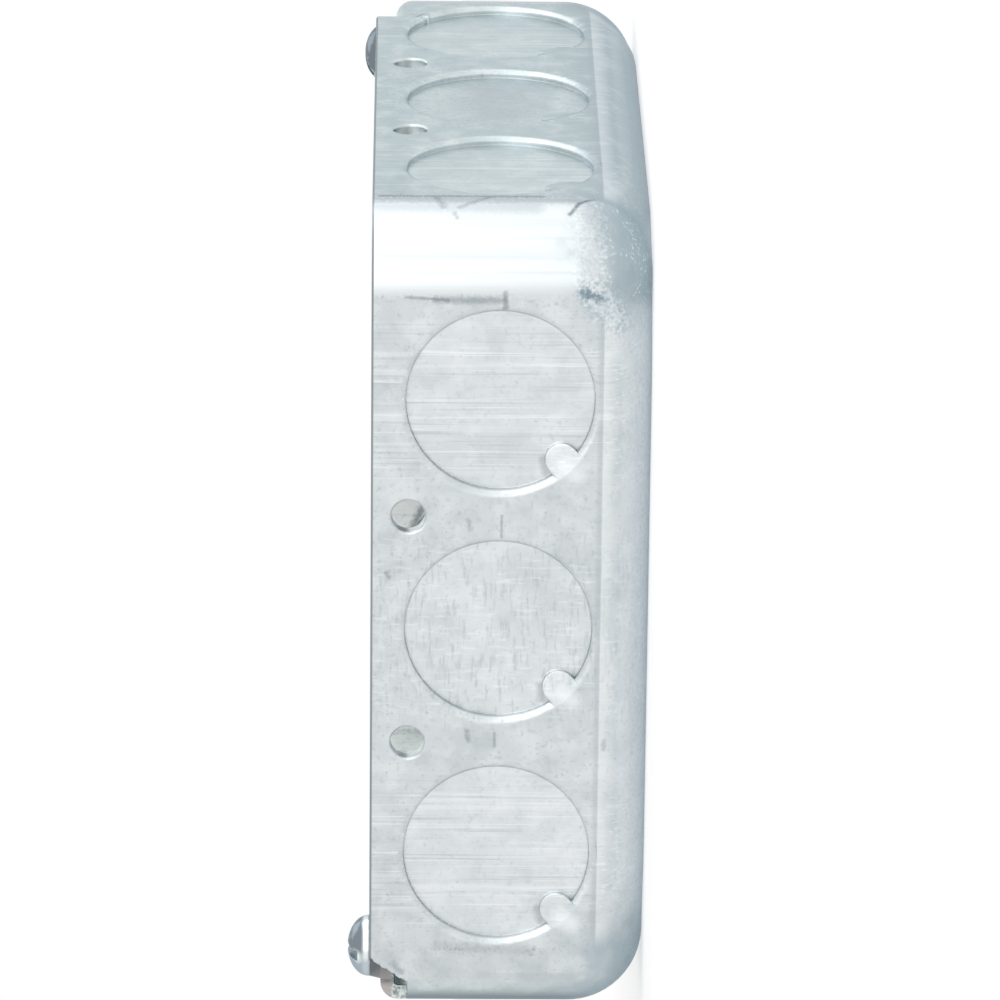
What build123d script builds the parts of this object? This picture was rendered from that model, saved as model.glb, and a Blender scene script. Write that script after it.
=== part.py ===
"""Square outlet box: a drawn and punched sheet-steel wiring box with its two cover screws.

The box lies on its back with the open front up. The origin is at the middle of the back's
outer face, +Z points out of the open front, and each side wall faces along X or Y.
"""

import os

from build123d import *

# Drawn shell
box_width = 101.6
box_depth = 33.0
sheet = 1.6
corner_radius = 9.525
roll_radius = 5.7
roll_blend = 11.275
ball_margin = 0.525
rim_break = 0.25

# Knockouts: a sheared slug sits below the wall and hangs on one half-round tie
knockout_diameter = 22.2
knockout_pitch = 28.575
knockout_from_rim = 15.14
knockout_sink = 1.0
shear_gap = 0.12
lip_width = 0.7
lip_depth = 0.8
tie_width = 4.0
tie_reach = 2.8
tie_root = 0.3
tie_high = 0.03
tie_low = 0.6
tie_angle = 225

# Small holes near the rim, midway between the knockouts of each wall
side_hole_diameter = 4.0
side_hole_from_rim = 4.4
hole_lip_width = 0.2
hole_lip_angle = 90

# Back: five knockouts, two mounting holes and a raised pad with a tapped hole
back_knockout_offset = 28.575
mounting_hole_diameter = 5.2
mounting_hole_spacing = 50.8
pad_offset = 27.0
pad_top_radius = 4.4
pad_foot_radius = 6.4
pad_rise = 1.6
pad_hole_diameter = 4.0

# Ears: folded in from the walls at two corners, one a little lower than the other
ear_drops = (1.35, 2.55)
ear_radius = 4.3
ear_far_side = 15.4
ear_cut_angle = 40
ear_shoulder_angle = 58
ear_slit = 0.2
ear_bend_inside = 0.5
ear_root = 1.0
notch_below_ear = 3.25
notch_wide = 8.45
notch_narrow = 4.9
notch_round = 1.0
collar_height = 1.3
collar_step = 0.1
collar_draft = 0.5

# Cover screws
screw_inset = 7.2
screw_diameter = 4.17
screw_length = 12.7
screw_point = 0.5
thread_clearance = 0.06
head_diameter = 7.4
head_height = 2.7
head_edge = 0.15
slot_width = 1.3
slot_depth = 1.2
slot_angles = (87, 35)

half_width = box_width / 2
corner_axis = half_width - corner_radius
screw_offset = half_width - screw_inset
knockout_radius = knockout_diameter / 2
side_hole_radius = side_hole_diameter / 2
mounting_hole_radius = mounting_hole_diameter / 2
notch_side = ear_far_side + ear_slit
punch_depth = 2 * sheet
quarter_turns = (0, 90, 180, 270)
on_foot = (Align.CENTER, Align.CENTER, Align.MIN)


def wall_section(along, roll, inset, top):
    """The -Y wall's cross-section at x = along: a straight wall that rolls into the back."""
    outer = inset - half_width
    with BuildSketch(Plane.YZ.offset(along)) as section:
        with BuildLine():
            back = Line((-corner_axis, inset), (outer + roll, inset))
            rolled = TangentArc(back @ 1, (outer, inset + roll), tangent=back % 1)
            Polyline(rolled @ 1, (outer, top), (-corner_axis, top), back @ 0)
        make_face()
    return section.sketch


def drawn_form(inset, top):
    """One side of the drawn sheet: four walls and four corners round a square core.

    Along the middle of each wall the roll into the back has one radius. Towards the corners it
    opens out smoothly and meets the much rounder, almost ball-shaped back corner.
    """
    roll = roll_radius - inset
    reach = corner_radius - inset
    ball = reach - ball_margin
    roll_end = corner_axis - roll_blend
    with BuildPart() as wall:
        extrude(wall_section(-roll_end, roll, inset, top), amount=2 * roll_end)
        for end in (-1, 1):
            stations = []
            for share in (0, 0.25, 0.5, 0.75, 1):
                along = roll_end + share * roll_blend
                ease = share * share * (3 - 2 * share)
                stations.append(wall_section(end * along, roll + ease * (ball - roll), inset, top))
            loft(stations)
    with BuildPart() as corner:
        with BuildSketch(Plane((-corner_axis, -corner_axis, 0), x_dir=(-1, 0, 0), z_dir=(0, 1, 0))):
            with BuildLine():
                back = Line((0, inset), (ball_margin, inset))
                rolled = TangentArc(back @ 1, (reach, inset + ball), tangent=back % 1)
                Polyline(rolled @ 1, (reach, top), (0, top), back @ 0)
            make_face()
        revolve(axis=Axis((-corner_axis, -corner_axis, 0), (0, 0, 1)), revolution_arc=90)
    with BuildPart() as form:
        with BuildSketch(Plane.XY.offset(inset)):
            Rectangle(2 * corner_axis, 2 * corner_axis)
        extrude(amount=top - inset)
        for turn in quarter_turns:
            add(wall.part, rotation=(0, 0, turn))
            add(corner.part, rotation=(0, 0, turn))
    return form.part


def wall_plane(turn):
    """A side wall's outer face, with its origin at the middle of the rim and local y towards the rim."""
    outward = Vector(0, -1, 0).rotate(Axis.Z, turn)
    along = Vector(1, 0, 0).rotate(Axis.Z, turn)
    return Plane(origin=outward * half_width + Vector(0, 0, box_depth), x_dir=along, z_dir=outward)


# Knockout slug below an outer face at z = 0, with its tie towards local +X
tie_outer = knockout_radius + lip_width + tie_root
tie_inner = knockout_radius - tie_reach
tie_depth = (sheet + knockout_sink) / 2
with BuildPart() as slug:
    with BuildSketch(Plane.XZ):
        with BuildLine():
            Polyline(
                (tie_inner, -tie_low),
                (tie_outer, -tie_high),
                (tie_outer, -tie_depth),
                (tie_inner, -tie_depth - tie_low),
                close=True,
            )
        make_face()
    extrude(amount=tie_width / 2, both=True)
    with BuildSketch(Plane.XY):
        with Locations((tie_inner + tie_outer / 2, 0)):
            SlotOverall(tie_outer, tie_width)
    extrude(amount=-punch_depth, mode=Mode.INTERSECT)
    with BuildSketch(Plane.XY.offset(-knockout_sink)):
        Circle(knockout_radius - shear_gap)
    extrude(amount=-sheet)

# Void round one slug: a straight sheared edge below a rolled lip, which opens out to the wall's face
with BuildPart() as knockout_void:
    with Locations((0, 0, -punch_depth)):
        Cylinder(knockout_radius, 2 * punch_depth, align=on_foot)
    with Locations((0, 0, -lip_depth)):
        Cone(knockout_radius, knockout_radius + 2 * lip_width, 2 * lip_depth, align=on_foot)


def bent_block(inset, bottom, top):
    """A block with the plan of the walls, its top edges rounded as the ears are bent."""
    side = box_width - 2 * inset
    with BuildPart() as block:
        with BuildSketch(Plane.XY.offset(bottom)):
            RectangleRounded(side, side, corner_radius - inset)
        extrude(amount=top - bottom)
        fillet(block.edges().group_by(Axis.Z)[-1], ear_bend_inside + sheet - inset)
    return block.part


def ear_plan():
    """The ear of the corner at -X -Y seen from the front: a round end about the screw and a wide root.

    The root's near side is cut square to the rounded corner, and its far side is a slit away from the wall.
    """
    outside = -half_width - sheet
    far_side = ear_far_side - half_width
    bend = ear_bend_inside + sheet - half_width
    screw = Vector(-screw_offset, -screw_offset)
    with BuildSketch() as plan:
        with BuildLine():
            near = PolarLine((-corner_axis, -corner_axis), corner_radius + sheet, 180 + ear_cut_angle)
            shoulder = screw + Vector(ear_radius, 0).rotate(Axis.Z, ear_shoulder_angle)
            Polyline(
                near @ 1,
                (outside, (near @ 1).Y),
                (outside, far_side),
                (bend, far_side),
                shoulder,
                near @ 0,
            )
        make_face()
        with Locations(screw):
            Circle(ear_radius)
    return plan.sketch


def folded_ear(drop):
    """The ear of the corner at -X -Y: its wall bends inwards and carries a tapped collar."""
    ear_top = box_depth - drop
    root_level = ear_top - notch_below_ear - ear_root
    collar_foot = ear_radius - collar_step
    collar_bury = sheet / 2
    with BuildPart() as ear:
        add(bent_block(0, root_level, ear_top))
        add(bent_block(sheet, root_level, ear_top - sheet), mode=Mode.SUBTRACT)
        extrude(ear_plan(), amount=box_depth, mode=Mode.INTERSECT)
        with Locations((-screw_offset, -screw_offset, ear_top - collar_bury)):
            Cone(collar_foot, collar_foot - collar_draft, collar_height + collar_bury, align=on_foot)
            Hole(screw_diameter / 2 + thread_clearance)
    return ear.part


def ear_notch(drop):
    """The opening beside and behind the ear of the corner at -X -Y, with a slanted front edge."""
    depth = drop + notch_below_ear
    with BuildPart() as notch:
        with BuildSketch(Plane.XZ.offset(corner_axis)):
            with BuildLine():
                Polyline(
                    (notch_wide - half_width, box_depth),
                    (notch_narrow - half_width, box_depth - depth),
                    (-half_width - sheet, box_depth - depth),
                    (-half_width - sheet, box_depth + sheet),
                    (notch_wide - half_width, box_depth + sheet),
                    close=True,
                )
            front = make_face()
            fillet(front.vertices().sort_by(Axis.Y)[:2].sort_by(Axis.X)[-1], notch_round)
        extrude(amount=corner_radius + sheet)
        with BuildSketch(Plane.YZ.offset(sheet + notch_round - half_width)):
            with Locations((notch_side - half_width, box_depth - depth)):
                side = Rectangle(notch_side + sheet, depth + sheet, align=(Align.MAX, Align.MIN))
            fillet(side.vertices().sort_by(Axis.Y)[:2].sort_by(Axis.X)[-1], notch_round)
        extrude(amount=-punch_depth - notch_round)
    return notch.part


# Box body: the drawn shell with its knockouts, holes, raised pad, notches and ears
with BuildPart() as box_body:
    add(drawn_form(0, box_depth))
    add(drawn_form(sheet, box_depth + sheet), mode=Mode.SUBTRACT)
    chamfer(box_body.edges().group_by(Axis.Z)[-1], rim_break)
    for turn in quarter_turns:
        with Locations(wall_plane(turn)):
            with Locations(Location((0, -knockout_from_rim, 0))):
                with GridLocations(knockout_pitch, 0, 3, 1):
                    add(knockout_void.part, mode=Mode.SUBTRACT)
                    add(slug.part, rotation=(0, 0, tie_angle))
            with Locations(Location((0, -side_hole_from_rim, 0))):
                with GridLocations(knockout_pitch, 0, 2, 1):
                    CounterSinkHole(
                        side_hole_radius, side_hole_radius + hole_lip_width, punch_depth, hole_lip_angle
                    )
    with Locations(Plane.XY.rotated((180, 0, 0))):
        back_places = [(0, 0)]
        for x_side in (-1, 1):
            for y_side in (-1, 1):
                back_places.append((x_side * back_knockout_offset, y_side * back_knockout_offset))
        with Locations(*back_places):
            add(knockout_void.part, mode=Mode.SUBTRACT)
            add(slug.part, rotation=(0, 0, tie_angle))
        with GridLocations(mounting_hole_spacing, 0, 2, 1):
            CounterSinkHole(
                mounting_hole_radius, mounting_hole_radius + hole_lip_width, punch_depth, hole_lip_angle
            )
    with Locations((0, pad_offset, sheet)):
        Cone(pad_foot_radius + sheet / 2, pad_top_radius + sheet / 2, pad_rise, align=on_foot)
    with Locations((0, pad_offset, 0)):
        Cone(pad_foot_radius, pad_top_radius, pad_rise, align=on_foot, mode=Mode.SUBTRACT)
        Hole(pad_hole_diameter / 2)
    for index, drop in enumerate(ear_drops):
        add(ear_notch(drop), rotation=(0, 0, 180 * index), mode=Mode.SUBTRACT)
        add(folded_ear(drop), rotation=(0, 0, 180 * index))
box_body.part.label = "box_body"

# Cover screws: round heads seated on the ears' collars, with plain shanks
with BuildPart() as cover_screws:
    for index, drop in enumerate(ear_drops):
        place = screw_offset * (2 * index - 1)
        seat = box_depth - drop + collar_height
        with BuildSketch(Plane((place, place, seat), x_dir=(1, 0, 0), z_dir=(0, -1, 0))):
            with BuildLine():
                shank = Polyline(
                    (0, -screw_length),
                    (screw_diameter / 2 - screw_point, -screw_length),
                    (screw_diameter / 2, screw_point - screw_length),
                    (screw_diameter / 2, 0),
                    (head_diameter / 2, 0),
                    (head_diameter / 2, head_edge),
                )
                dome = EllipticalCenterArc(
                    (0, head_edge), head_diameter / 2, head_height - head_edge, start_angle=0, arc_size=90
                )
                Line(dome @ 1, shank @ 0)
            make_face()
        revolve(axis=Axis((place, place, 0), (0, 0, 1)))
        with Locations(Location((place, place, seat + head_height), (0, 0, slot_angles[index]))):
            Box(
                head_diameter,
                slot_width,
                slot_depth,
                align=(Align.CENTER, Align.CENTER, Align.MAX),
                mode=Mode.SUBTRACT,
            )
cover_screws.part.label = "cover_screws"

os.makedirs("parts", exist_ok=True)
export_step(box_body.part, "parts/box_body.step")
export_step(cover_screws.part, "parts/cover_screws.step")
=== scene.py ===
"""The look of a square outlet box: a drawn, galvanised sheet-steel wiring box with two cover screws."""

import bmesh
import bpy
import numpy as np
from mathutils import Matrix, Vector


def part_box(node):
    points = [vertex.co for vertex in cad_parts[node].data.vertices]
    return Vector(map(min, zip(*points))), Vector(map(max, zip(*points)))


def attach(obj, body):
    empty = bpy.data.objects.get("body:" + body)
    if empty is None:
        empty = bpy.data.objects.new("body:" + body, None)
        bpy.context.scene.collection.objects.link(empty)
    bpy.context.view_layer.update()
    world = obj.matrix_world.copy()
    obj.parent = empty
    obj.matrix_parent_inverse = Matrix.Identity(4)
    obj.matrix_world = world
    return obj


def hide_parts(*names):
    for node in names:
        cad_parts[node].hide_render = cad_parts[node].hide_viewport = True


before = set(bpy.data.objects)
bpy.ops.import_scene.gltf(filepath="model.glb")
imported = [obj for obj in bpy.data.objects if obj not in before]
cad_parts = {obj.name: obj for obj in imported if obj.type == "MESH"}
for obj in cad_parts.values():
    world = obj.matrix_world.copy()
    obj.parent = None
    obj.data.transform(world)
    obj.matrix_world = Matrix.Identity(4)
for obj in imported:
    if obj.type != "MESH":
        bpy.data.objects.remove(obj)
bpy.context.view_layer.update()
scene = bpy.context.scene
scene.view_settings.view_transform = "Standard"

# Box body: one blank of hot-dip galvanised steel sheet, 1.6 mm thick, drawn to a square cup in a
# press. Later strokes shear the knockouts half through, punch the holes and fold in the two ears.
MM = 0.001
body_high = np.array(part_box("box_body"))[1] / MM
half_width = body_high[0]
rim_level = body_high[2]
sheet_thickness = 1.6
corner_radius = 9.525
corner_axis = half_width - corner_radius
roll_radius = 5.7
knockout_radius = 11.1
knockout_pitch = 28.575
knockout_sink = 1.0
knockout_from_rim = 15.14
knockout_level = rim_level - knockout_from_rim
slug_radius = 10.98
slug_gap = 0.02
cut_lip_width, cut_lip_depth = 0.7, 0.8
lip_width, lip_depth = 0.9, 0.42
lip_cuts = 4
near_enough = 0.03
merge_distance = 0.0001 * MM
solid_crease = np.radians(35)

merged = bmesh.new()
merged.from_mesh(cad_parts["box_body"].data)
bmesh.ops.remove_doubles(merged, verts=merged.verts, dist=merge_distance)
drawn_sheet = bpy.data.meshes.new("box_body_drawn")


def mesh_points(mesh):
    """The mesh's points as an array in mm, one row each."""
    points = np.empty(3 * len(mesh.vertices))
    mesh.vertices.foreach_get("co", points)
    return points.reshape(-1, 3) / MM


def rolled_lips(points):
    """Turns the straight bevel that the solid has round each knockout, cut_lip_width wide and
    cut_lip_depth deep, into the lip that shearing rolls over. A point's share across the bevel runs
    from 0 at the shear line to 1 on the wall. The lip is as wide as lip_width times the share, and
    its depth is lip_depth times the square of what is left to 1. The slug's edge spreads until it
    all but touches the shear line.
    Returns the moved points and the shares, which are below 0 for points on no lip."""
    moved = points.copy()
    shares = np.full(len(points), -1.0)
    along_wall = [(step * knockout_pitch, knockout_level) for step in (-1, 0, 1)]
    on_back = [(0, 0)] + [(i * knockout_pitch, j * knockout_pitch) for i in (-1, 1) for j in (-1, 1)]
    for across, face_level, centres in (
        ((1, 2, 0), half_width, along_wall),
        ((0, 2, 1), half_width, along_wall),
        ((0, 1, 2), 0, on_back),
    ):
        plan, level = points[:, across[:2]], points[:, across[2]]
        outward = np.sign(level) if face_level else -np.ones(len(points))
        depth = np.abs(face_level - np.abs(level))
        for centre in centres:
            radius = np.linalg.norm(plan - centre, axis=1)
            share = (radius - knockout_radius) / cut_lip_width
            on_bevel = np.abs(depth - cut_lip_depth * (1 - share)) < near_enough
            on_bevel &= np.abs(share - 0.5) < 0.5 + near_enough
            share = np.clip(share[on_bevel], 0, 1)
            shares[on_bevel] = share
            reach = (knockout_radius + lip_width * share) / radius[on_bevel]
            moved[np.ix_(on_bevel, across[:2])] = centre + (plan[on_bevel] - centre) * reach[:, None]
            risen = depth[on_bevel] - lip_depth * (1 - share) ** 2
            moved[on_bevel, across[2]] = level[on_bevel] + outward[on_bevel] * risen
            on_edge = np.abs(radius - slug_radius) < near_enough
            on_edge &= np.abs(depth - knockout_sink) < near_enough
            reach = (knockout_radius - slug_gap) / slug_radius
            moved[np.ix_(on_edge, across[:2])] = centre + (plan[on_edge] - centre) * reach
    return moved, shares


merged.to_mesh(drawn_sheet)
lip_shares = rolled_lips(mesh_points(drawn_sheet))[1]
ends = np.empty(2 * len(drawn_sheet.edges), dtype=int)
drawn_sheet.edges.foreach_get("vertices", ends)
from_share, to_share = lip_shares[ends.reshape(-1, 2)].T
across_lip = (from_share >= 0) & (to_share >= 0) & (np.abs(from_share - to_share) > 0.5)
merged.edges.ensure_lookup_table()
bmesh.ops.subdivide_edges(
    merged, edges=[merged.edges[index] for index in np.flatnonzero(across_lip)], cuts=lip_cuts
)
merged.to_mesh(drawn_sheet)
merged.free()
lipped = rolled_lips(mesh_points(drawn_sheet))[0]
drawn_sheet.vertices.foreach_set("co", (lipped * MM).ravel())
drawn_sheet.update()
box = bpy.data.objects.new("box_body_drawn", drawn_sheet)
scene.collection.objects.link(box)


def solid_piece(name, shells):
    """One mesh object from closed shells given as points in mm and faces; doubled points are merged."""
    points = np.concatenate([shell[0] for shell in shells])
    starts = np.cumsum([0] + [len(shell[0]) for shell in shells])
    faces = [
        [corner + start for corner in face]
        for shell, start in zip(shells, starts) for face in shell[1]
    ]
    mesh = bpy.data.meshes.new(name)
    mesh.from_pydata((points * MM).tolist(), [], faces)
    shape = bmesh.new()
    shape.from_mesh(mesh)
    bmesh.ops.remove_doubles(shape, verts=shape.verts, dist=merge_distance)
    bmesh.ops.dissolve_degenerate(shape, edges=shape.edges, dist=merge_distance)
    bmesh.ops.recalc_face_normals(shape, faces=shape.faces)
    shape.to_mesh(mesh)
    shape.free()
    mesh.set_sharp_from_angle(angle=solid_crease)
    piece = bpy.data.objects.new(name, mesh)
    scene.collection.objects.link(piece)
    return piece


def prism(outline, bottom, top, axes):
    """The points of an outline at two levels and the faces between them. axes says which of x, y and z
    the outline's first and second coordinate and the level are."""
    count = len(outline)
    points = np.empty((2 * count, 3))
    points[:, axes[:2]] = np.concatenate((outline, outline))
    points[:, axes[2]] = np.repeat((bottom, top), count)
    ring = np.arange(count)
    after = np.roll(ring, -1)
    walls = np.stack((ring, after, after + count, ring + count), axis=-1)
    return points, [ring.tolist(), (ring + count).tolist()] + walls.tolist()


# Ears and notches: the slit beside each strap is opened about the corner's axis, from just past the
# solid's own cut to strap_cut_angle in degrees. Each notch's slanted edge is torn by three waves,
# each with its depth in mm, its turns in radians and its phase.
screw_offset = 43.6
ear_radius = 4.35
ear_step = 1.2
strap_cut_angle, solid_cut_angle = 22, 42
sector_points = 9
notch_wide, notch_narrow, notch_depth = 8.45, 4.9, 4.6
notch_top = np.array((notch_wide - half_width, rim_level))
notch_foot = np.array((notch_narrow - half_width, rim_level - notch_depth))
foot_gap = 0.1
tear_depth = 0.12
tear_waves = np.array(((0.08, 13, 1), (0.07, 31, 0), (0.05, 67, 2)))
tear_points = 46
cutter_margin = 1


def torn_notch():
    """The shear that opens a notch, as two blocks to cut away. One widens the slit beside the strap: a
    sector about the corner's axis that stops at the ear's round end. The other tears the wall's
    slanted edge: a strip along it whose far side waves by the sum of three sines."""
    angles = np.radians(np.linspace(strap_cut_angle, solid_cut_angle, sector_points))
    to_screw = np.sqrt(2) * (screw_offset - corner_axis)
    off_screw = np.pi / 4 - angles
    round_end = to_screw * np.cos(off_screw) + np.sqrt(
        ear_radius ** 2 - (to_screw * np.sin(off_screw)) ** 2
    )
    direction = -np.stack((np.cos(angles), np.sin(angles)), axis=-1)
    past_wall = corner_radius + 2 * cutter_margin
    sector = np.concatenate((direction * round_end[:, None], direction[::-1] * past_wall))
    along = np.linspace(0, 1, tear_points)[:, None]
    depths, turns, phases = tear_waves.T
    torn = tear_depth + (depths * np.sin(turns * along + phases)).sum(axis=1, keepdims=True)
    line = notch_top + along * (notch_foot - notch_top)
    strip = np.concatenate((line + torn * (1, 0), line[::-1] - (cutter_margin, 0)))
    wedge = prism(sector - corner_axis, notch_foot[1] + foot_gap, rim_level + cutter_margin, (0, 1, 2))
    return wedge, prism(strip, -half_width - cutter_margin, -corner_axis, (0, 2, 1))


shells = []
for points, faces in torn_notch():
    shells.append((points, faces))
    shells.append((points * (-1, -1, 1) - (0, 0, ear_step), faces))
cutter = solid_piece("notch_cutter", shells)
tearing = box.modifiers.new("tearing", "BOOLEAN")
tearing.object = cutter
tearing.solver = "EXACT"
evaluated = bpy.context.evaluated_depsgraph_get()
drawn_sheet = bpy.data.meshes.new_from_object(box.evaluated_get(evaluated), depsgraph=evaluated)
box.modifiers.remove(tearing)
box.data = drawn_sheet
bpy.data.objects.remove(cutter)
drawn_sheet.attributes.remove(drawn_sheet.attributes["custom_normal"])

# The sheared faces of the rim, the notches and the ears stand square to the sheet: on the walls the
# sheet faces away from the corner's axis, and on the ears it faces up or down. least_reach only
# keeps a division away from zero.
ear_reach = 36.0
notch_level = 26.5
square_limit = 0.3
edge_band = 0.1
least_reach = 1e-6
sheet_crease = np.radians(28)
centres, normals = np.empty((2, 3 * len(drawn_sheet.polygons)))
drawn_sheet.polygons.foreach_get("center", centres)
drawn_sheet.polygons.foreach_get("normal", normals)
centres = centres.reshape(-1, 3) / MM
normals = normals.reshape(-1, 3)
outward = np.sign(centres[:, :2]) * np.maximum(np.abs(centres[:, :2]) - corner_axis, 0)
wall_reach = np.linalg.norm(outward, axis=1)
across_wall = np.abs((normals[:, :2] * outward).sum(axis=1)) / np.maximum(wall_reach, least_reach)
in_wall = wall_reach > corner_radius - sheet_thickness - edge_band
square = np.where(in_wall, across_wall, np.abs(normals[:, 2])) < square_limit
at_ear = (np.abs(centres[:, :2]).min(axis=1) > ear_reach) & (centres[:, 2] > notch_level)
sheared = square & (at_ear | (in_wall & (centres[:, 2] > rim_level - edge_band)))
drawn_sheet.polygons.foreach_set("material_index", sheared.astype(int))
drawn_sheet.set_sharp_from_angle(angle=sheet_crease)

flat_walls = box.modifiers.new("flat_walls", "WEIGHTED_NORMAL")
flat_walls.keep_sharp = True
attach(box, "root")
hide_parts("box_body")


def linear(hex_colour):
    """sRGB hex to linear RGBA: each channel c is c / 12.92 in the darkest tones, and elsewhere
    (c + 0.055) / 1.055 to the power 2.4."""
    srgb = np.array([int(hex_colour[at:at + 2], 16) for at in (1, 3, 5)]) / 255
    rgb = np.where(srgb <= 0.04045, srgb / 12.92, ((srgb + 0.055) / 1.055) ** 2.4)
    return (*rgb.tolist(), 1.0)


def add_node(tree, kind, inputs, **settings):
    """Adds one node with its settings; an input is a plain value or the output that feeds it."""
    node = tree.nodes.new(kind)
    for name, value in settings.items():
        setattr(node, name, value)
    for socket, value in inputs.items():
        if isinstance(value, bpy.types.NodeSocket):
            tree.links.new(value, node.inputs[socket])
        else:
            node.inputs[socket].default_value = value
    return node.outputs


# Hot-dip galvanised sheet: zinc dragged by the drawing die. It gives a pale, milky, half-blurred metal with
# fine scores along the draw, grey mottling, burnished corners and a duller rolled edge. Light and shade are
# also painted into its colour: the X walls, their low parts and rolls, the -X corners and the crevices are
# painted darker as shade, the inside is painted paler, the +X corners' burnish is lighter as a painted
# highlight, and where the flat meets the roll there is a painted highlight and shadow line.
wall_zinc = linear("#D3D8DA")
# Painted shade: the darker colour of the two X walls
side_wall_painted_shade = linear("#C9D3D4")
# Painted light: the paler inside of the box
inside_painted_light = linear("#F3F4F1")
shade_zinc = linear("#B4BDC1")
score_pale = linear("#F4F7F8")
score_dark = linear("#A3AEB4")
# Partly the die's burnish, partly a painted highlight on the +X corners
burnish_and_painted_highlight = linear("#DADFE1")
# Painted shade: the dark -X corners
low_corner_painted_shade = linear("#6C777D")
rolled_zinc = linear("#CBD3D8")
ball_zinc = linear("#A9B8BE")
spangle_pale = linear("#F3F7F9")
smudge_grey = linear("#7B858B")
frost_blue = linear("#6F8591")
# Painted shade: the dark pocket under the near ear
pocket_painted_shade = linear("#3E4744")
rim_grey = linear("#8A9398")
# Painted shade: crevices, darkened by occlusion
crevice_painted_shade = linear("#7C858A")
grazing_zinc = linear("#D3DCE0")

# Sizes of the patterns in mm. Real scores, weave and grain are well under a tenth of a millimetre
# wide, which is less than a pixel, so they are drawn several times as coarse, as they need to show.
score_width = 0.26
score_length = 16.0
band_width = 1.1
band_length = 64.0
weave_width = 0.4
weave_length = 2.2
grain_size = 0.5
spangle_size = 0.42
patch_size = 3.2
cloud_size = 13.0
ragged_edge = 1.8
uneven_corner = 9.0
uneven_roll = 7.0
crevice_reach = 2.0

# Sockets of a colour Mix node, by number because its kinds of value share their names
FACTOR, FIRST, SECOND, MIXED = 0, 6, 7, 2

galvanised = bpy.data.materials.new("hot_dip_galvanised_drawn_sheet")
galvanised.use_nodes = True
tree = galvanised.node_tree
tree.nodes.clear()
metres = add_node(tree, "ShaderNodeTexCoord", {})["Object"]
place = add_node(tree, "ShaderNodeVectorMath", {0: metres, "Scale": 1 / MM}, operation="SCALE")[0]
spot = add_node(tree, "ShaderNodeSeparateXYZ", {0: place})
across, height = spot["X"], spot["Z"]

# Where a point lies: its distances from the middle, how far along the wall it is, and how far out
# it lies from the corner's axis, which is the corner radius on the outer face all round. far_up is
# higher than any point, so the height drops out.
reach = add_node(tree, "ShaderNodeVectorMath", {0: place}, operation="ABSOLUTE")[0]
reaches = add_node(tree, "ShaderNodeSeparateXYZ", {0: reach})
reach_x, reach_y = reaches["X"], reaches["Y"]
along_wall = add_node(tree, "ShaderNodeMath", {0: reach_x, 1: reach_y}, operation="MINIMUM")[0]
far_up = 1e6
beyond = add_node(
    tree, "ShaderNodeVectorMath", {0: reach, 1: (corner_axis, corner_axis, far_up)}, operation="SUBTRACT"
)[0]
beyond = add_node(tree, "ShaderNodeVectorMath", {0: beyond, 1: (0, 0, 0)}, operation="MAXIMUM")[0]
out_from_axis = add_node(tree, "ShaderNodeVectorMath", {0: beyond}, operation="LENGTH")["Value"]

# Patterns, each as wide and as long as the marks on the sheet
patterns = {}
for name, spread, detail in (
    ("scores", (score_width, score_width, score_length), 3.0),
    ("bands", (band_width, band_width, band_length), 2.0),
    ("weave", (weave_length, weave_width, weave_width), 2.0),
    ("cross_weave", (weave_width, weave_width, weave_length), 2.0),
    ("grain", (grain_size, grain_size, grain_size), 4.0),
    ("spangle", (spangle_size, spangle_size, spangle_size), 8.0),
    ("patches", (patch_size, patch_size, patch_size), 3.0),
    ("clouds", (cloud_size, cloud_size, cloud_size), 3.0),
):
    stretched = add_node(
        tree, "ShaderNodeMapping", {"Vector": place, "Scale": tuple(1 / size for size in spread)}
    )[0]
    patterns[name] = add_node(
        tree, "ShaderNodeTexNoise", {"Vector": stretched, "Scale": 1.0, "Detail": detail}
    )[0]

# The die scores the wall hardest beside the outer knockouts, the burnish starts on a ragged line
# and the duller roll and ball corner start unevenly
off_knockout = add_node(
    tree, "ShaderNodeMath", {0: along_wall, 1: knockout_pitch}, operation="SUBTRACT"
)[0]
off_knockout = add_node(tree, "ShaderNodeMath", {0: off_knockout}, operation="ABSOLUTE")[0]
ragged = add_node(
    tree, "ShaderNodeMath", {0: patterns["spangle"], 1: ragged_edge, 2: along_wall},
    operation="MULTIPLY_ADD",
)[0]
uneven = add_node(
    tree, "ShaderNodeMath", {0: patterns["patches"], 1: uneven_corner, 2: along_wall},
    operation="MULTIPLY_ADD",
)[0]
uneven_height = add_node(
    tree, "ShaderNodeMath", {0: patterns["patches"], 1: uneven_roll, 2: height},
    operation="MULTIPLY_ADD",
)[0]
# How shut in a point is, which drives the painted shade in crevices
shut_in = add_node(
    tree, "ShaderNodeAmbientOcclusion", {"Distance": crevice_reach * MM}, samples=8, only_local=True
)["AO"]

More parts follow.
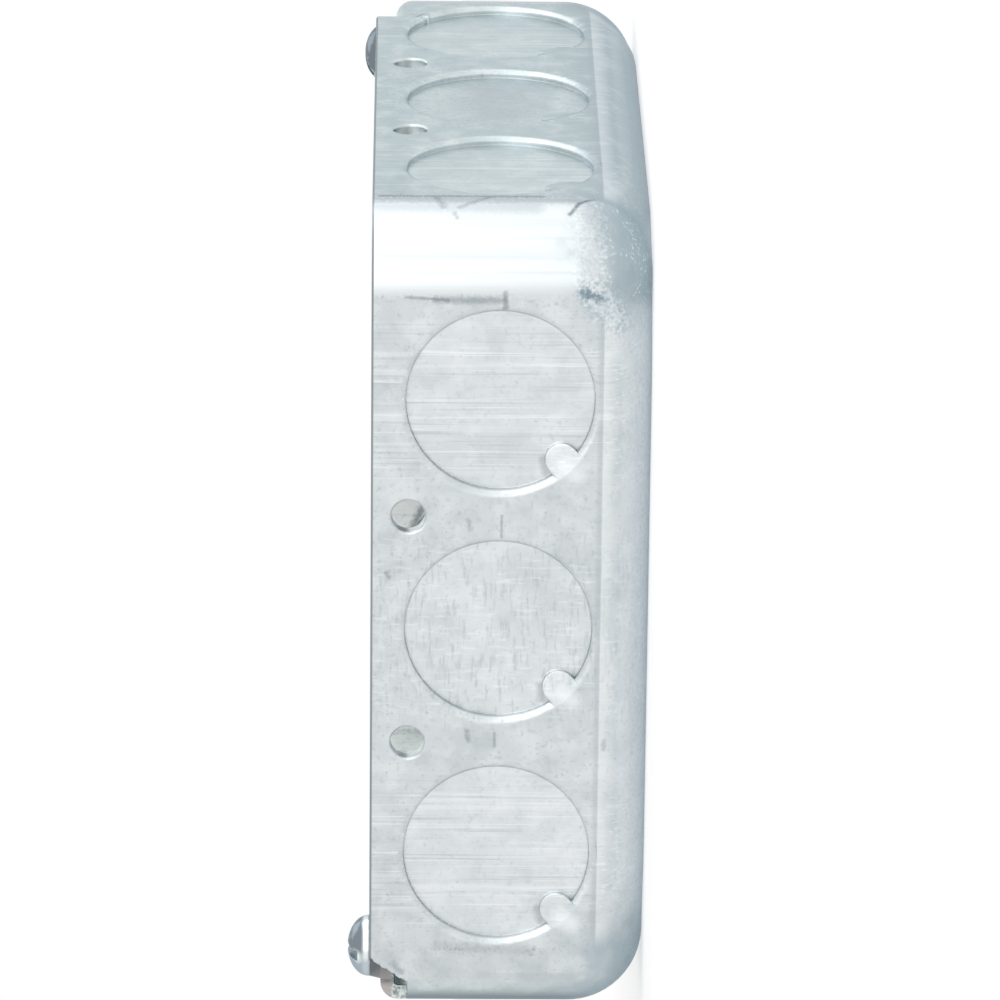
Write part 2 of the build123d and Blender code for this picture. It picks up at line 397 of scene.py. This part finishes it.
# Shares from 0 to 1: each ramp is a source with the values at which it starts and is complete,
# which are mm for a place and the noise's own level for a pattern
shares = {}
for name, source, start, complete in (
    ("side", reach_x, half_width - 6.0, half_width - 4.0),
    ("side_low", height, 13.0, 3.0),
    ("low", across, -half_width + 4.4, -half_width + 1.4),
    ("low_corner", along_wall, corner_axis + 0.5, corner_axis + 4.5),
    ("upper", across, 0.0, 30.0),
    ("slug", out_from_axis, 9.3, 8.9),
    ("outside", out_from_axis, 8.0, 8.4),
    ("inside", out_from_axis, 8.4, 8.0),
    ("off_roll", height, 3.0, 12.0),
    ("above_roll", uneven_height, roll_radius + 1.5, roll_radius + 9.5),
    ("roll", height, roll_radius - 0.4, -1.0),
    ("below_panel", height, roll_radius + 1.0, roll_radius + 0.4),
    ("above_panel", height, roll_radius, roll_radius + 0.2),
    ("panel_ridge", height, roll_radius - 2.2, roll_radius),
    ("under_ridge", height, roll_radius + 0.2, roll_radius),
    ("near_roll", uneven_height, 15.0, 6.5),
    ("ball", uneven, corner_axis - 0.5, corner_axis + 5.5),
    ("off_corner", along_wall, corner_axis, corner_axis - 3.0),
    ("rim", height, rim_level - 0.3, rim_level - 0.2),
    ("scored", off_knockout, 13.0, 5.0),
    ("middle", along_wall, 16.0, 8.0),
    ("corner", ragged, corner_axis + 0.7, corner_axis + 1.5),
    ("corner_edge", ragged, corner_axis - 0.6, corner_axis + 0.5),
    ("corner_start", ragged, corner_axis + 1.4, corner_axis + 0.7),
    ("pale_scores", patterns["scores"], 0.57, 0.72),
    ("dark_scores", patterns["scores"], 0.43, 0.28),
    ("pale_bands", patterns["bands"], 0.52, 0.75),
    ("weave", patterns["weave"], 0.5, 0.75),
    ("cross_weave", patterns["cross_weave"], 0.52, 0.75),
    ("grain", patterns["grain"], 0.52, 0.8),
    ("pale_patches", patterns["patches"], 0.48, 0.66),
    ("patches", patterns["patches"], 0.47, 0.3),
    ("clouds", patterns["clouds"], 0.45, 0.7),
    ("spangle", patterns["spangle"], 0.54, 0.68),
    ("spangle_dark", patterns["spangle"], 0.48, 0.34),
    ("crevice", shut_in, 0.6, 0.1),
):
    shares[name] = add_node(
        tree, "ShaderNodeMapRange", {"Value": source, "From Min": start, "From Max": complete},
        interpolation_type="SMOOTHSTEP",
    )[0]

# Coats of colour, one over the other: each is a colour, its strength and the shares it needs
# The X walls start from a darker colour, which is painted shade
tone = add_node(
    tree, "ShaderNodeMix", {FACTOR: shares["side"], FIRST: wall_zinc, SECOND: side_wall_painted_shade}, data_type="RGBA"
)[MIXED]
for colour, strength, needs in (
    # Painted shade: the X walls darker low down
    (score_dark, 0.65, ("side", "side_low")),
    # Painted light: the inside paler
    (inside_painted_light, 1.0, ("inside", "off_roll")),
    (shade_zinc, 0.28, ("clouds",)),
    (shade_zinc, 0.38, ("patches",)),
    (score_pale, 0.25, ("pale_patches",)),
    (shade_zinc, 0.7, ("grain",)),
    (score_pale, 0.2, ("slug", "outside")),
    (score_pale, 0.35, ("pale_bands", "scored")),
    (score_dark, 0.35, ("dark_scores", "scored")),
    (score_pale, 0.6, ("pale_scores", "scored")),
    (score_dark, 0.4, ("weave", "middle")),
    (score_pale, 0.4, ("cross_weave", "middle")),
    (smudge_grey, 0.5, ("corner_edge", "corner_start", "spangle_dark", "above_roll", "clouds")),
    # Burnish on the +X corners only: partly the die's burnish, partly a painted highlight
    (burnish_and_painted_highlight, 1.0, ("corner", "above_roll", "upper")),
    (shade_zinc, 0.3, ("corner", "pale_bands")),
    # Painted shade: the -X corners darker outside
    (low_corner_painted_shade, 0.9, ("low", "low_corner", "outside")),
    (rolled_zinc, 0.9, ("roll",)),
    # Painted shade: the roll darker on the X walls
    (score_dark, 0.5, ("roll", "side")),
    (ball_zinc, 0.9, ("ball", "near_roll")),
    (score_dark, 0.3, ("roll", "spangle_dark")),
    (spangle_pale, 0.25, ("roll", "spangle")),
    (score_dark, 0.45, ("ball", "near_roll", "patches")),
    (score_dark, 0.5, ("ball", "near_roll", "grain", "upper")),
    (spangle_pale, 0.8, ("ball", "near_roll", "spangle", "pale_patches", "upper")),
    # A painted shadow line on the flat just above the roll and a painted highlight line on the roll just
    # below
    (shade_zinc, 0.45, ("below_panel", "above_panel", "off_corner")),
    (score_pale, 0.4, ("panel_ridge", "under_ridge", "off_corner")),
    (rim_grey, 0.9, ("rim",)),
    # Painted shade: crevices darkened by occlusion, more on the X walls
    (crevice_painted_shade, 0.5, ("crevice",)),
    (smudge_grey, 0.6, ("crevice", "side")),
):
    share = shares[needs[0]]
    for other in needs[1:]:
        share = add_node(tree, "ShaderNodeMath", {0: share, 1: shares[other]}, operation="MULTIPLY")[0]
    share = add_node(tree, "ShaderNodeMath", {0: share, 1: strength}, operation="MULTIPLY")[0]
    tone = add_node(
        tree, "ShaderNodeMix", {FACTOR: share, FIRST: tone, SECOND: colour}, data_type="RGBA"
    )[MIXED]


def stroke_share(tree, place, grain, ends, half_breadth, strength, fray):
    """The share of a ragged stroke: strength on the line between its two ends, falling to 0 at half its
    breadth from that line. The grain frays its edge, or fills the stroke where fray is below 0."""
    start, line = Vector(ends[0]), Vector(ends[1]) - Vector(ends[0])
    offset = add_node(tree, "ShaderNodeVectorMath", {0: place, 1: start}, operation="SUBTRACT")[0]
    along = add_node(tree, "ShaderNodeVectorMath", {0: offset, 1: line}, operation="DOT_PRODUCT")["Value"]
    along = add_node(
        tree, "ShaderNodeMath", {0: along, 1: line.length_squared}, operation="DIVIDE", use_clamp=True
    )[0]
    foot = add_node(tree, "ShaderNodeVectorMath", {0: line, "Scale": along}, operation="SCALE")[0]
    distance = add_node(tree, "ShaderNodeVectorMath", {0: offset, 1: foot}, operation="DISTANCE")["Value"]
    frayed = fray * half_breadth
    distance = add_node(
        tree, "ShaderNodeMath", {0: grain, 1: frayed, 2: distance}, operation="MULTIPLY_ADD"
    )[0]
    full_breadth = 0.2 * half_breadth
    return add_node(tree, "ShaderNodeMapRange", {
        "Value": distance, "To Max": strength,
        "From Min": frayed / 2 + half_breadth, "From Max": frayed / 2 + full_breadth,
    })[0]


# Marks left by the press and by handling, and some painted shade and highlights: each is a stroke's colour,
# its two ends in mm, half its breadth, its strength and how much the spangle frays it. Each knockout of the
# -Y wall has a painted highlight and a painted shade at its tie.
marks = [
    (smudge_grey, (41.4, -50.8, 29.0), (41.1, -50.8, 24.0), 0.3, 0.5, 1.0),
    (smudge_grey, (41.1, -50.8, 25.5), (41.1, -50.8, 17.6), 0.7, 0.5, 1.0),
    (smudge_grey, (41.9, -50.8, 17.4), (40.2, -50.8, 17.3), 0.5, 0.5, 1.2),
    (smudge_grey, (39.9, -50.8, 17.6), (39.4, -50.8, 17.6), 0.5, 0.7, 0.8),
    (ball_zinc, (42.0, -50.5, 7.2), (38.5, -50.5, 3.5), 2.4, 0.8, 1.6),
    (spangle_pale, (42.0, -50.5, 7.0), (38.5, -50.4, 4.0), 1.9, 0.55, -2.4),
    (frost_blue, (42.0, -50.7, 8.1), (40.9, -50.7, 5.4), 0.9, 0.8, 1.6),
    (spangle_pale, (44.0, -50.2, 7.4), (50.0, -45.0, 7.8), 2.2, 0.35, -3.0),
    (smudge_grey, (50.8, -41.6, 25.6), (50.35, -44.1, 24.6), 0.6, 0.55, 1.8),
    (smudge_grey, (50.0, -45.1, 23.4), (49.6, -45.9, 23.1), 0.4, 0.4, 1.4),
    (smudge_grey, (50.8, -41.6, 19.2), (50.3, -44.2, 22.8), 0.5, 0.5, 1.8),
    (smudge_grey, (50.8, -41.6, 6.9), (50.6, -43.1, 8.7), 0.35, 0.9, 0.8),
    (smudge_grey, (50.6, -43.1, 8.7), (49.9, -45.3, 9.9), 0.4, 0.9, 0.8),
    (smudge_grey, (50.8, -41.3, 32.0), (50.8, -41.3, 13.0), 0.5, 0.6, 2.0),
    (score_dark, (50.7, -42.4, 32.5), (50.7, -42.4, 9.0), 1.1, 0.5, 1.6),
    (score_dark, (50.2, -44.2, 33.0), (50.2, -44.2, 14.0), 1.7, 0.45, 0.7),
    # Painted shade: a dark wedge inside the far wall, seen through the upper small hole
    (smudge_grey, (-20.8, 49.2, 26.8), (-23.7, 49.2, 28.0), 0.9, 0.75, 0.8),
    (smudge_grey, (13.9, -50.8, 21.5), (12.7, -50.8, 21.3), 0.45, 0.3, 1.8),
    (smudge_grey, (14.4, -50.8, 17.6), (11.6, -50.8, 17.6), 0.24, 0.45, 1.2),
    (smudge_grey, (-12.8, -50.8, 21.5), (-14.0, -50.8, 21.3), 0.45, 0.45, 1.8),
    (smudge_grey, (-13.0, -50.8, 18.2), (-14.8, -50.8, 18.2), 0.24, 0.45, 1.2),
    (smudge_grey, (-14.2, -50.8, 5.2), (-15.0, -50.8, 5.2), 0.5, 0.35, 1.6),
    (smudge_grey, (-40.6, -50.8, 25.0), (-41.2, -50.8, 13.5), 0.9, 0.22, 1.4),
    (smudge_grey, (-43.0, -50.4, 30.0), (-44.2, -50.4, 29.2), 0.7, 0.45, 1.4),
    (smudge_grey, (7.2, -50.8, 31.2), (6.6, -50.8, 30.8), 0.4, 0.5, 1.4),
    # Painted shade: the middle slug of the +X wall darker
    (shade_zinc, (49.8, -5.0, 17.9), (49.8, 5.0, 17.9), 8.0, 0.5, 0.5),
    # Painted shade: a dark pocket inside under the near ear
    (pocket_painted_shade, (-48.9, -44.0, 29.4), (-48.9, -35.0, 29.4), 1.5, 0.95, 1.0),
]
# Painted highlight and painted shade on the tie of each -Y wall knockout
for middle in (knockout_pitch, 0, -knockout_pitch):
    marks += [
        (spangle_pale, (middle - 8.2, -50.2, 10.2), (middle - 9.0, -50.6, 8.9), 1.7, 0.6, 0.4),
        (smudge_grey, (middle - 7.4, -49.8, 12.8), (middle - 9.0, -49.8, 12.4), 0.8, 0.4, 0.6),
    ]
for colour, start, end, half_breadth, strength, fray in marks:
    share = stroke_share(tree, place, patterns["spangle"], (start, end), half_breadth, strength, fray)
    tone = add_node(
        tree, "ShaderNodeMix", {FACTOR: share, FIRST: tone, SECOND: colour}, data_type="RGBA"
    )[MIXED]

# Finish: a blurred reflection, sharper on the burnish, with the scores and the grain in relief
sheet_roughness, burnish_roughness = 0.36, 0.3
grain_relief = 0.8
relief_depth = 0.012
edge_rounding = 0.3
gloss = add_node(
    tree, "ShaderNodeMapRange",
    {"Value": shares["corner"], "To Min": sheet_roughness, "To Max": burnish_roughness},
)[0]
relief = add_node(
    tree, "ShaderNodeMath", {0: patterns["grain"], 1: grain_relief, 2: patterns["scores"]},
    operation="MULTIPLY_ADD",
)[0]
soft_edges = add_node(tree, "ShaderNodeBevel", {"Radius": edge_rounding * MM}, samples=6)[0]
bump = add_node(
    tree, "ShaderNodeBump",
    {"Strength": 0.5, "Distance": relief_depth * MM, "Height": relief, "Normal": soft_edges},
)[0]
finish = add_node(
    tree, "ShaderNodeBsdfPrincipled",
    {"Base Color": tone, "Metallic": 1.0, "Roughness": gloss, "Specular Tint": grazing_zinc, "Normal": bump},
)[0]
add_node(tree, "ShaderNodeOutputMaterial", {"Surface": finish})
drawn_sheet.materials.append(galvanised)

# Sheared sheet steel: the cut faces have no zinc. They give a duller neutral grey with faint lines, warmer
# on the straps and sparkling where the notches are torn. The ears are painted darker, as painted shade.
sheared_steel = linear("#B9B8B7")
sheared_dark = linear("#9F9E9E")
# Painted shade: the ears' darker cut faces
ear_painted_shade = linear("#6C7073")
strap_steel = linear("#A8A2A1")
torn_dark = linear("#7E8785")
torn_pale = linear("#D2D8D7")
shear_line = 0.9
torn_grain = 0.4
torn_level = 30.7
strap_level = 32.2
level_fade = 0.6
ear_starts, ear_full = 7.9, 7.0
shear_relief = 0.02

bare = bpy.data.materials.new("bare_sheared_sheet_steel")
bare.use_nodes = True
tree = bare.node_tree
tree.nodes.clear()
metres = add_node(tree, "ShaderNodeTexCoord", {})["Object"]
lines = add_node(
    tree, "ShaderNodeTexNoise", {"Vector": metres, "Scale": 1 / (shear_line * MM), "Detail": 2.0}
)[0]
dull = add_node(tree, "ShaderNodeMapRange", {"Value": lines, "From Min": 0.4, "From Max": 0.7})[0]
tone = add_node(
    tree, "ShaderNodeMix", {FACTOR: dull, FIRST: sheared_steel, SECOND: sheared_dark}, data_type="RGBA"
)[MIXED]
grains = add_node(
    tree, "ShaderNodeTexNoise", {"Vector": metres, "Scale": 1 / (torn_grain * MM), "Detail": 3.0}
)[0]
sparkle = add_node(tree, "ShaderNodeMapRange", {"Value": grains, "From Min": 0.35, "From Max": 0.65})[0]
torn = add_node(
    tree, "ShaderNodeMix", {FACTOR: sparkle, FIRST: torn_dark, SECOND: torn_pale}, data_type="RGBA"
)[MIXED]
height = add_node(tree, "ShaderNodeSeparateXYZ", {0: metres})["Z"]
for level, colour in ((strap_level, strap_steel), (torn_level, torn)):
    below = add_node(
        tree, "ShaderNodeMapRange",
        {"Value": height, "From Min": level * MM, "From Max": (level - level_fade) * MM},
    )[0]
    tone = add_node(
        tree, "ShaderNodeMix", {FACTOR: below, FIRST: tone, SECOND: colour}, data_type="RGBA"
    )[MIXED]
reach = add_node(tree, "ShaderNodeVectorMath", {0: metres}, operation="ABSOLUTE")[0]
edge_reach = corner_axis * MM
beyond = add_node(
    tree, "ShaderNodeVectorMath", {0: reach, 1: (edge_reach, edge_reach, far_up)}, operation="SUBTRACT"
)[0]
beyond = add_node(tree, "ShaderNodeVectorMath", {0: beyond, 1: (0, 0, 0)}, operation="MAXIMUM")[0]
beyond = add_node(tree, "ShaderNodeVectorMath", {0: beyond}, operation="LENGTH")["Value"]
on_ear = add_node(
    tree, "ShaderNodeMapRange", {"Value": beyond, "From Min": ear_starts * MM, "From Max": ear_full * MM}
)[0]
# The ears painted darker: painted shade
tone = add_node(
    tree, "ShaderNodeMix", {FACTOR: on_ear, FIRST: tone, SECOND: ear_painted_shade}, data_type="RGBA"
)[MIXED]
bump = add_node(
    tree, "ShaderNodeBump", {"Strength": 0.2, "Distance": shear_relief * MM, "Height": lines}
)[0]
finish = add_node(
    tree, "ShaderNodeBsdfPrincipled",
    {"Base Color": tone, "Metallic": 1.0, "Roughness": 0.45, "Normal": bump},
)[0]
add_node(tree, "ShaderNodeOutputMaterial", {"Surface": finish})
drawn_sheet.materials.append(bare)

# Cover screws: two round-head machine screws of zinc-plated steel, cold headed, slotted and
# thread-rolled. Each sits half out in the tapped collar of an ear, ready for a cover.
screws_low = np.array(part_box("cover_screws"))[0] / MM
head_radius = 3.7
head_height = 2.7
head_edge = 0.15
slot_width = 1.3
slot_depth = 1.2
thread_radius = 2.085
thread_depth = 0.43
inch = 25.4
threads_per_inch = 32
thread_pitch = inch / threads_per_inch
groove_peak = 1.2
screw_length = 12.7
screw_point = 0.5
into_head = 0.3
slot_turns = np.radians((87, 35))
seats = (screws_low[2] + screw_length + ear_step, screws_low[2] + screw_length)
dome_rows, slot_rows, head_columns = 14, 7, 41
shank_columns, shank_rows = 49, 150


def grid_faces(rows, columns):
    """Quads between neighbouring points of a grid whose points are numbered row by row."""
    numbers = np.arange(rows * columns).reshape(rows, columns)
    corners = (numbers[:-1, :-1], numbers[:-1, 1:], numbers[1:, 1:], numbers[1:, :-1])
    return np.stack(corners, axis=-1).reshape(-1, 4)


def slotted_head():
    """Half an ellipsoid with its poles across the slot: x = R sin a cos b, y = R sin b, height
    cos a cos b. Between the slot's two walls the height is cut down to the slot's floor, and each
    wall is one row of points set twice. A short straight edge and a flat underside close the head."""
    wall = np.arcsin(slot_width / 2 / head_radius)
    quarter = np.pi / 2
    across = np.concatenate((
        np.linspace(-quarter, -wall, dome_rows),
        np.linspace(-wall, wall, slot_rows),
        np.linspace(wall, quarter, dome_rows),
    ))
    in_slot = np.repeat((False, True, False), (dome_rows, slot_rows, dome_rows))[:, None]
    b, a = np.meshgrid(across, np.linspace(-quarter, quarter, head_columns), indexing="ij")
    plan = np.stack((head_radius * np.sin(a) * np.cos(b), head_radius * np.sin(b)), axis=-1)
    dome = head_edge + (head_height - head_edge) * np.cos(a) * np.cos(b)
    top = np.where(in_slot, np.minimum(dome, head_height - slot_depth), dome)
    upper = np.concatenate((plan, top[..., None]), axis=-1)
    lower = np.concatenate((plan, np.zeros_like(top)[..., None]), axis=-1)
    faces = grid_faces(*top.shape)
    count = top.size
    outline = np.arange(count).reshape(top.shape)
    edges = []
    for side in (outline[:, -1], outline[::-1, 0]):
        edges.append(np.stack((side[:-1], side[1:], side[1:] + count, side[:-1] + count), axis=-1))
    points = np.concatenate((upper.reshape(-1, 3), lower.reshape(-1, 3)))
    return points, np.concatenate((faces[:, ::-1], faces + count, *edges))


def threaded_shank():
    """A cylinder whose radius falls by the thread's depth in a V once for each pitch, the V winding
    round by one pitch a turn. The V's peak is past that depth, so its root is flat. The thread fades
    out at the point, which is a short cone."""
    turn, down = np.meshgrid(
        np.linspace(0, 2 * np.pi, shank_columns), np.linspace(into_head, -screw_length, shank_rows),
        indexing="ij",
    )
    phase = (down / thread_pitch - turn / (2 * np.pi)) % 1
    groove = thread_depth * np.clip(groove_peak * (1 - 2 * np.abs(phase - 0.5)), 0, 1)
    point = np.clip((down + screw_length) / screw_point, 0, 1)
    radius = (thread_radius - screw_point * (1 - point)) - groove * point
    radius[:, -1] = 0
    radius[:, 0] = 0
    points = np.stack((radius * np.cos(turn), radius * np.sin(turn), down), axis=-1)
    return points.reshape(-1, 3), grid_faces(*down.shape)[:, ::-1]


def placed(points, index):
    """Turns a screw's points about its axis so that the slot lies right, and sets them on the ear."""
    cos, sin = np.cos(slot_turns[index]), np.sin(slot_turns[index])
    turned = points @ np.array(((cos, sin, 0), (-sin, cos, 0), (0, 0, 1)))
    corner = screw_offset * (2 * index - 1)
    return turned + (corner, corner, seats[index])


shells = []
for index in (0, 1):
    for points, faces in (slotted_head(), threaded_shank()):
        shells.append((placed(points, index), faces))
screws = solid_piece("cover_screws_slotted", shells)

# Bright zinc plate on cold-headed steel: a smooth, bluish, quite sharp mirror, greyer on the dome, with a
# few handling scuffs. Painted light and shade on top: a glint in each slot, a highlight in a band round the
# foot of each head, the near head's lower half paler and the far head darker.
dome_zinc = linear("#808A90")
# Painted highlight: the band round the foot of each head
foot_band_painted_highlight = linear("#EDF2F4")
# Painted light: the near head's lower half
lower_half_painted_light = linear("#B2BCC5")
# Painted shade: the far head
far_head_painted_shade = linear("#5F676C")
# Painted glint: the slots
slot_painted_glint = linear("#F2FAF8")
scuff_zinc = linear("#D9E0E4")
scuff_size = 0.9
slot_reach = 0.85 * head_radius
slot_stroke = (1.0, 0.9, 0.5)
smooth_roughness, scuff_roughness = 0.16, 0.3
scuff_relief = 0.01
head_rounding = 0.12

plated = bpy.data.materials.new("bright_zinc_plated_screw_steel")
plated.use_nodes = True
tree = plated.node_tree
tree.nodes.clear()
metres = add_node(tree, "ShaderNodeTexCoord", {})["Object"]
place = add_node(tree, "ShaderNodeVectorMath", {0: metres, "Scale": 1 / MM}, operation="SCALE")[0]
spot = add_node(tree, "ShaderNodeSeparateXYZ", {0: place})
across, height = spot["X"], spot["Z"]
seat = add_node(
    tree, "ShaderNodeMapRange",
    {"Value": across, "From Min": -1, "From Max": 1, "To Min": seats[0], "To Max": seats[1]},
)[0]
above_seat = add_node(tree, "ShaderNodeMath", {0: height, 1: seat}, operation="SUBTRACT")[0]
scuffs = add_node(tree, "ShaderNodeTexNoise", {"Vector": place, "Scale": 1 / scuff_size, "Detail": 3.0})[0]

# Each coat is a source, the values at which it starts and is complete, its strength and its colour
tone = dome_zinc
for source, start, complete, strength, colour in (
    # Painted highlight: a pale band round the foot of each head
    (above_seat, 1.1, 0.6, 0.9, foot_band_painted_highlight),
    (above_seat, 0.3, 0.1, 0.8, dome_zinc),
    # Painted light: the near head's lower half paler
    (across, -screw_offset, -screw_offset - 0.8, 0.8, lower_half_painted_light),
    # Painted shade: the far head darker
    (across, -1.0, 1.0, 0.35, far_head_painted_shade),
    (scuffs, 0.6, 0.72, 0.5, scuff_zinc),
):
    share = add_node(
        tree, "ShaderNodeMapRange",
        {"Value": source, "From Min": start, "From Max": complete, "To Max": strength},
        interpolation_type="SMOOTHSTEP",
    )[0]
    tone = add_node(
        tree, "ShaderNodeMix", {FACTOR: share, FIRST: tone, SECOND: colour}, data_type="RGBA"
    )[MIXED]
# A painted glint along the floor of each slot
for index, seat_level in enumerate(seats):
    corner = screw_offset * (2 * index - 1)
    reach = slot_reach * np.array((np.cos(slot_turns[index]), np.sin(slot_turns[index])))
    floor_level = seat_level + head_height - slot_depth
    slot_ends = [(*(corner + side * reach), floor_level) for side in (-1, 1)]
    share = stroke_share(tree, place, scuffs, slot_ends, *slot_stroke)
    tone = add_node(
        tree, "ShaderNodeMix", {FACTOR: share, FIRST: tone, SECOND: slot_painted_glint}, data_type="RGBA"
    )[MIXED]
gloss = add_node(tree, "ShaderNodeMapRange", {
    "Value": scuffs, "From Min": 0.3, "From Max": 0.7,
    "To Min": smooth_roughness, "To Max": scuff_roughness,
})[0]
soft_edges = add_node(tree, "ShaderNodeBevel", {"Radius": head_rounding * MM}, samples=6)[0]
bump = add_node(
    tree, "ShaderNodeBump",
    {"Strength": 0.25, "Distance": scuff_relief * MM, "Height": scuffs, "Normal": soft_edges},
)[0]
finish = add_node(
    tree, "ShaderNodeBsdfPrincipled",
    {"Base Color": tone, "Metallic": 1.0, "Roughness": gloss, "Specular Tint": grazing_zinc, "Normal": bump},
)[0]
add_node(tree, "ShaderNodeOutputMaterial", {"Surface": finish})
screws.data.materials.append(plated)
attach(screws, "root")
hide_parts("cover_screws")

# Floor: a plain white studio sheet under the box. To the camera and in reflections it is lifted
# to white by a little light of its own, and the box's shadow stays on it. Its underside is clear,
# so that the back of the box can be seen from below.
floor_reach = 3.0
floor_white = linear("#DCDCDC")
floor_lift = 0.5
floor_gap = 0.02 * MM


def seen_share(tree):
    """1 for the rays that see the studio, which are camera, glossy and transmission rays, else 0."""
    rays = add_node(tree, "ShaderNodeLightPath", {})
    seen = add_node(
        tree, "ShaderNodeMath", {0: rays["Is Camera Ray"], 1: rays["Is Glossy Ray"]}, operation="MAXIMUM"
    )[0]
    return add_node(
        tree, "ShaderNodeMath", {0: seen, 1: rays["Is Transmission Ray"]}, operation="MAXIMUM"
    )[0]


paper = bpy.data.materials.new("matt_white_studio_paper")
paper.use_nodes = True
tree = paper.node_tree
tree.nodes.clear()
lift = add_node(tree, "ShaderNodeMath", {0: seen_share(tree), 1: floor_lift}, operation="MULTIPLY")[0]
glow = add_node(tree, "ShaderNodeEmission", {"Strength": lift})[0]
sheet = add_node(tree, "ShaderNodeBsdfDiffuse", {"Color": floor_white})[0]
both = add_node(tree, "ShaderNodeAddShader", {0: sheet, 1: glow})[0]
clear = add_node(tree, "ShaderNodeBsdfTransparent", {})[0]
underside = add_node(tree, "ShaderNodeNewGeometry", {})["Backfacing"]
one_sided = add_node(tree, "ShaderNodeMixShader", {0: underside, 1: both, 2: clear})[0]
add_node(tree, "ShaderNodeOutputMaterial", {"Surface": one_sided})

floor_mesh = bpy.data.meshes.new("studio_floor")
corners = np.array([(-1, -1, 0), (1, -1, 0), (1, 1, 0), (-1, 1, 0)]) * floor_reach
floor_mesh.from_pydata((corners - (0, 0, floor_gap)).tolist(), [], [(0, 1, 2, 3)])
floor_mesh.materials.append(paper)
floor = bpy.data.objects.new("studio_floor", floor_mesh)
scene.collection.objects.link(floor)

# White background: strength 1 to the camera, to reflections and through glass, and a lower plain
# level for the light that falls on the box from all round.
world_level = 0.55
studio_white = linear("#FFFFFF")
world = bpy.data.worlds.new("white_studio")
world.use_nodes = True
tree = world.node_tree
tree.nodes.clear()
brightness = add_node(
    tree, "ShaderNodeMapRange", {"Value": seen_share(tree), "To Min": world_level, "To Max": 1.0}
)[0]
sky = add_node(tree, "ShaderNodeBackground", {"Color": studio_white, "Strength": brightness})[0]
add_node(tree, "ShaderNodeOutputWorld", {"Surface": sky})
scene.world = world

# Studio lamps: three soft boxes in an arc on the +X side, which the photograph shows at the top,
# from beside the camera round to behind the box, and a fourth over the open front.
lamp_reach = 0.9
lamp_width, lamp_height = 0.74, 0.66
lamp_power = 1.5
for name, turn, height in (
    ("soft_box_front", -68, 0.33),
    ("soft_box_side", -22, 0.33),
    ("soft_box_rear", 24, 0.33),
    ("soft_box_above", 75, 0.95),
):
    lamp = bpy.data.lights.new(name, "AREA")
    lamp.shape = "RECTANGLE"
    lamp.size, lamp.size_y = lamp_width, lamp_height
    lamp.energy = lamp_power
    holder = bpy.data.objects.new(name, lamp)
    holder.location = (
        lamp_reach * np.cos(np.radians(turn)), lamp_reach * np.sin(np.radians(turn)), height
    )
    holder.rotation_euler = (-holder.location).to_track_quat("-Z", "Y").to_euler()
    scene.collection.objects.link(holder)

# Camera: a long lens close to the floor, at the photograph's viewing angle. The picture is turned
# by a quarter, so that the box's open front points left.
lens_place = Vector((0.30437, -0.8544, 0.02874))
looking = Vector((-0.3373, 0.9413, -0.0128)).normalized()
picture_right = Vector((0.0096, -0.0101, -0.9999))
picture_up = picture_right.cross(looking).normalized()
picture_right = looking.cross(picture_up)
camera = bpy.data.cameras.new("long_lens")
camera.sensor_width = 36
camera.lens = 261.4
camera.clip_start = 0.01
viewer = bpy.data.objects.new("long_lens", camera)
axes = Matrix((picture_right, picture_up, -looking)).transposed().to_4x4()
viewer.matrix_world = Matrix.Translation(lens_place) @ axes
scene.collection.objects.link(viewer)
scene.camera = viewer
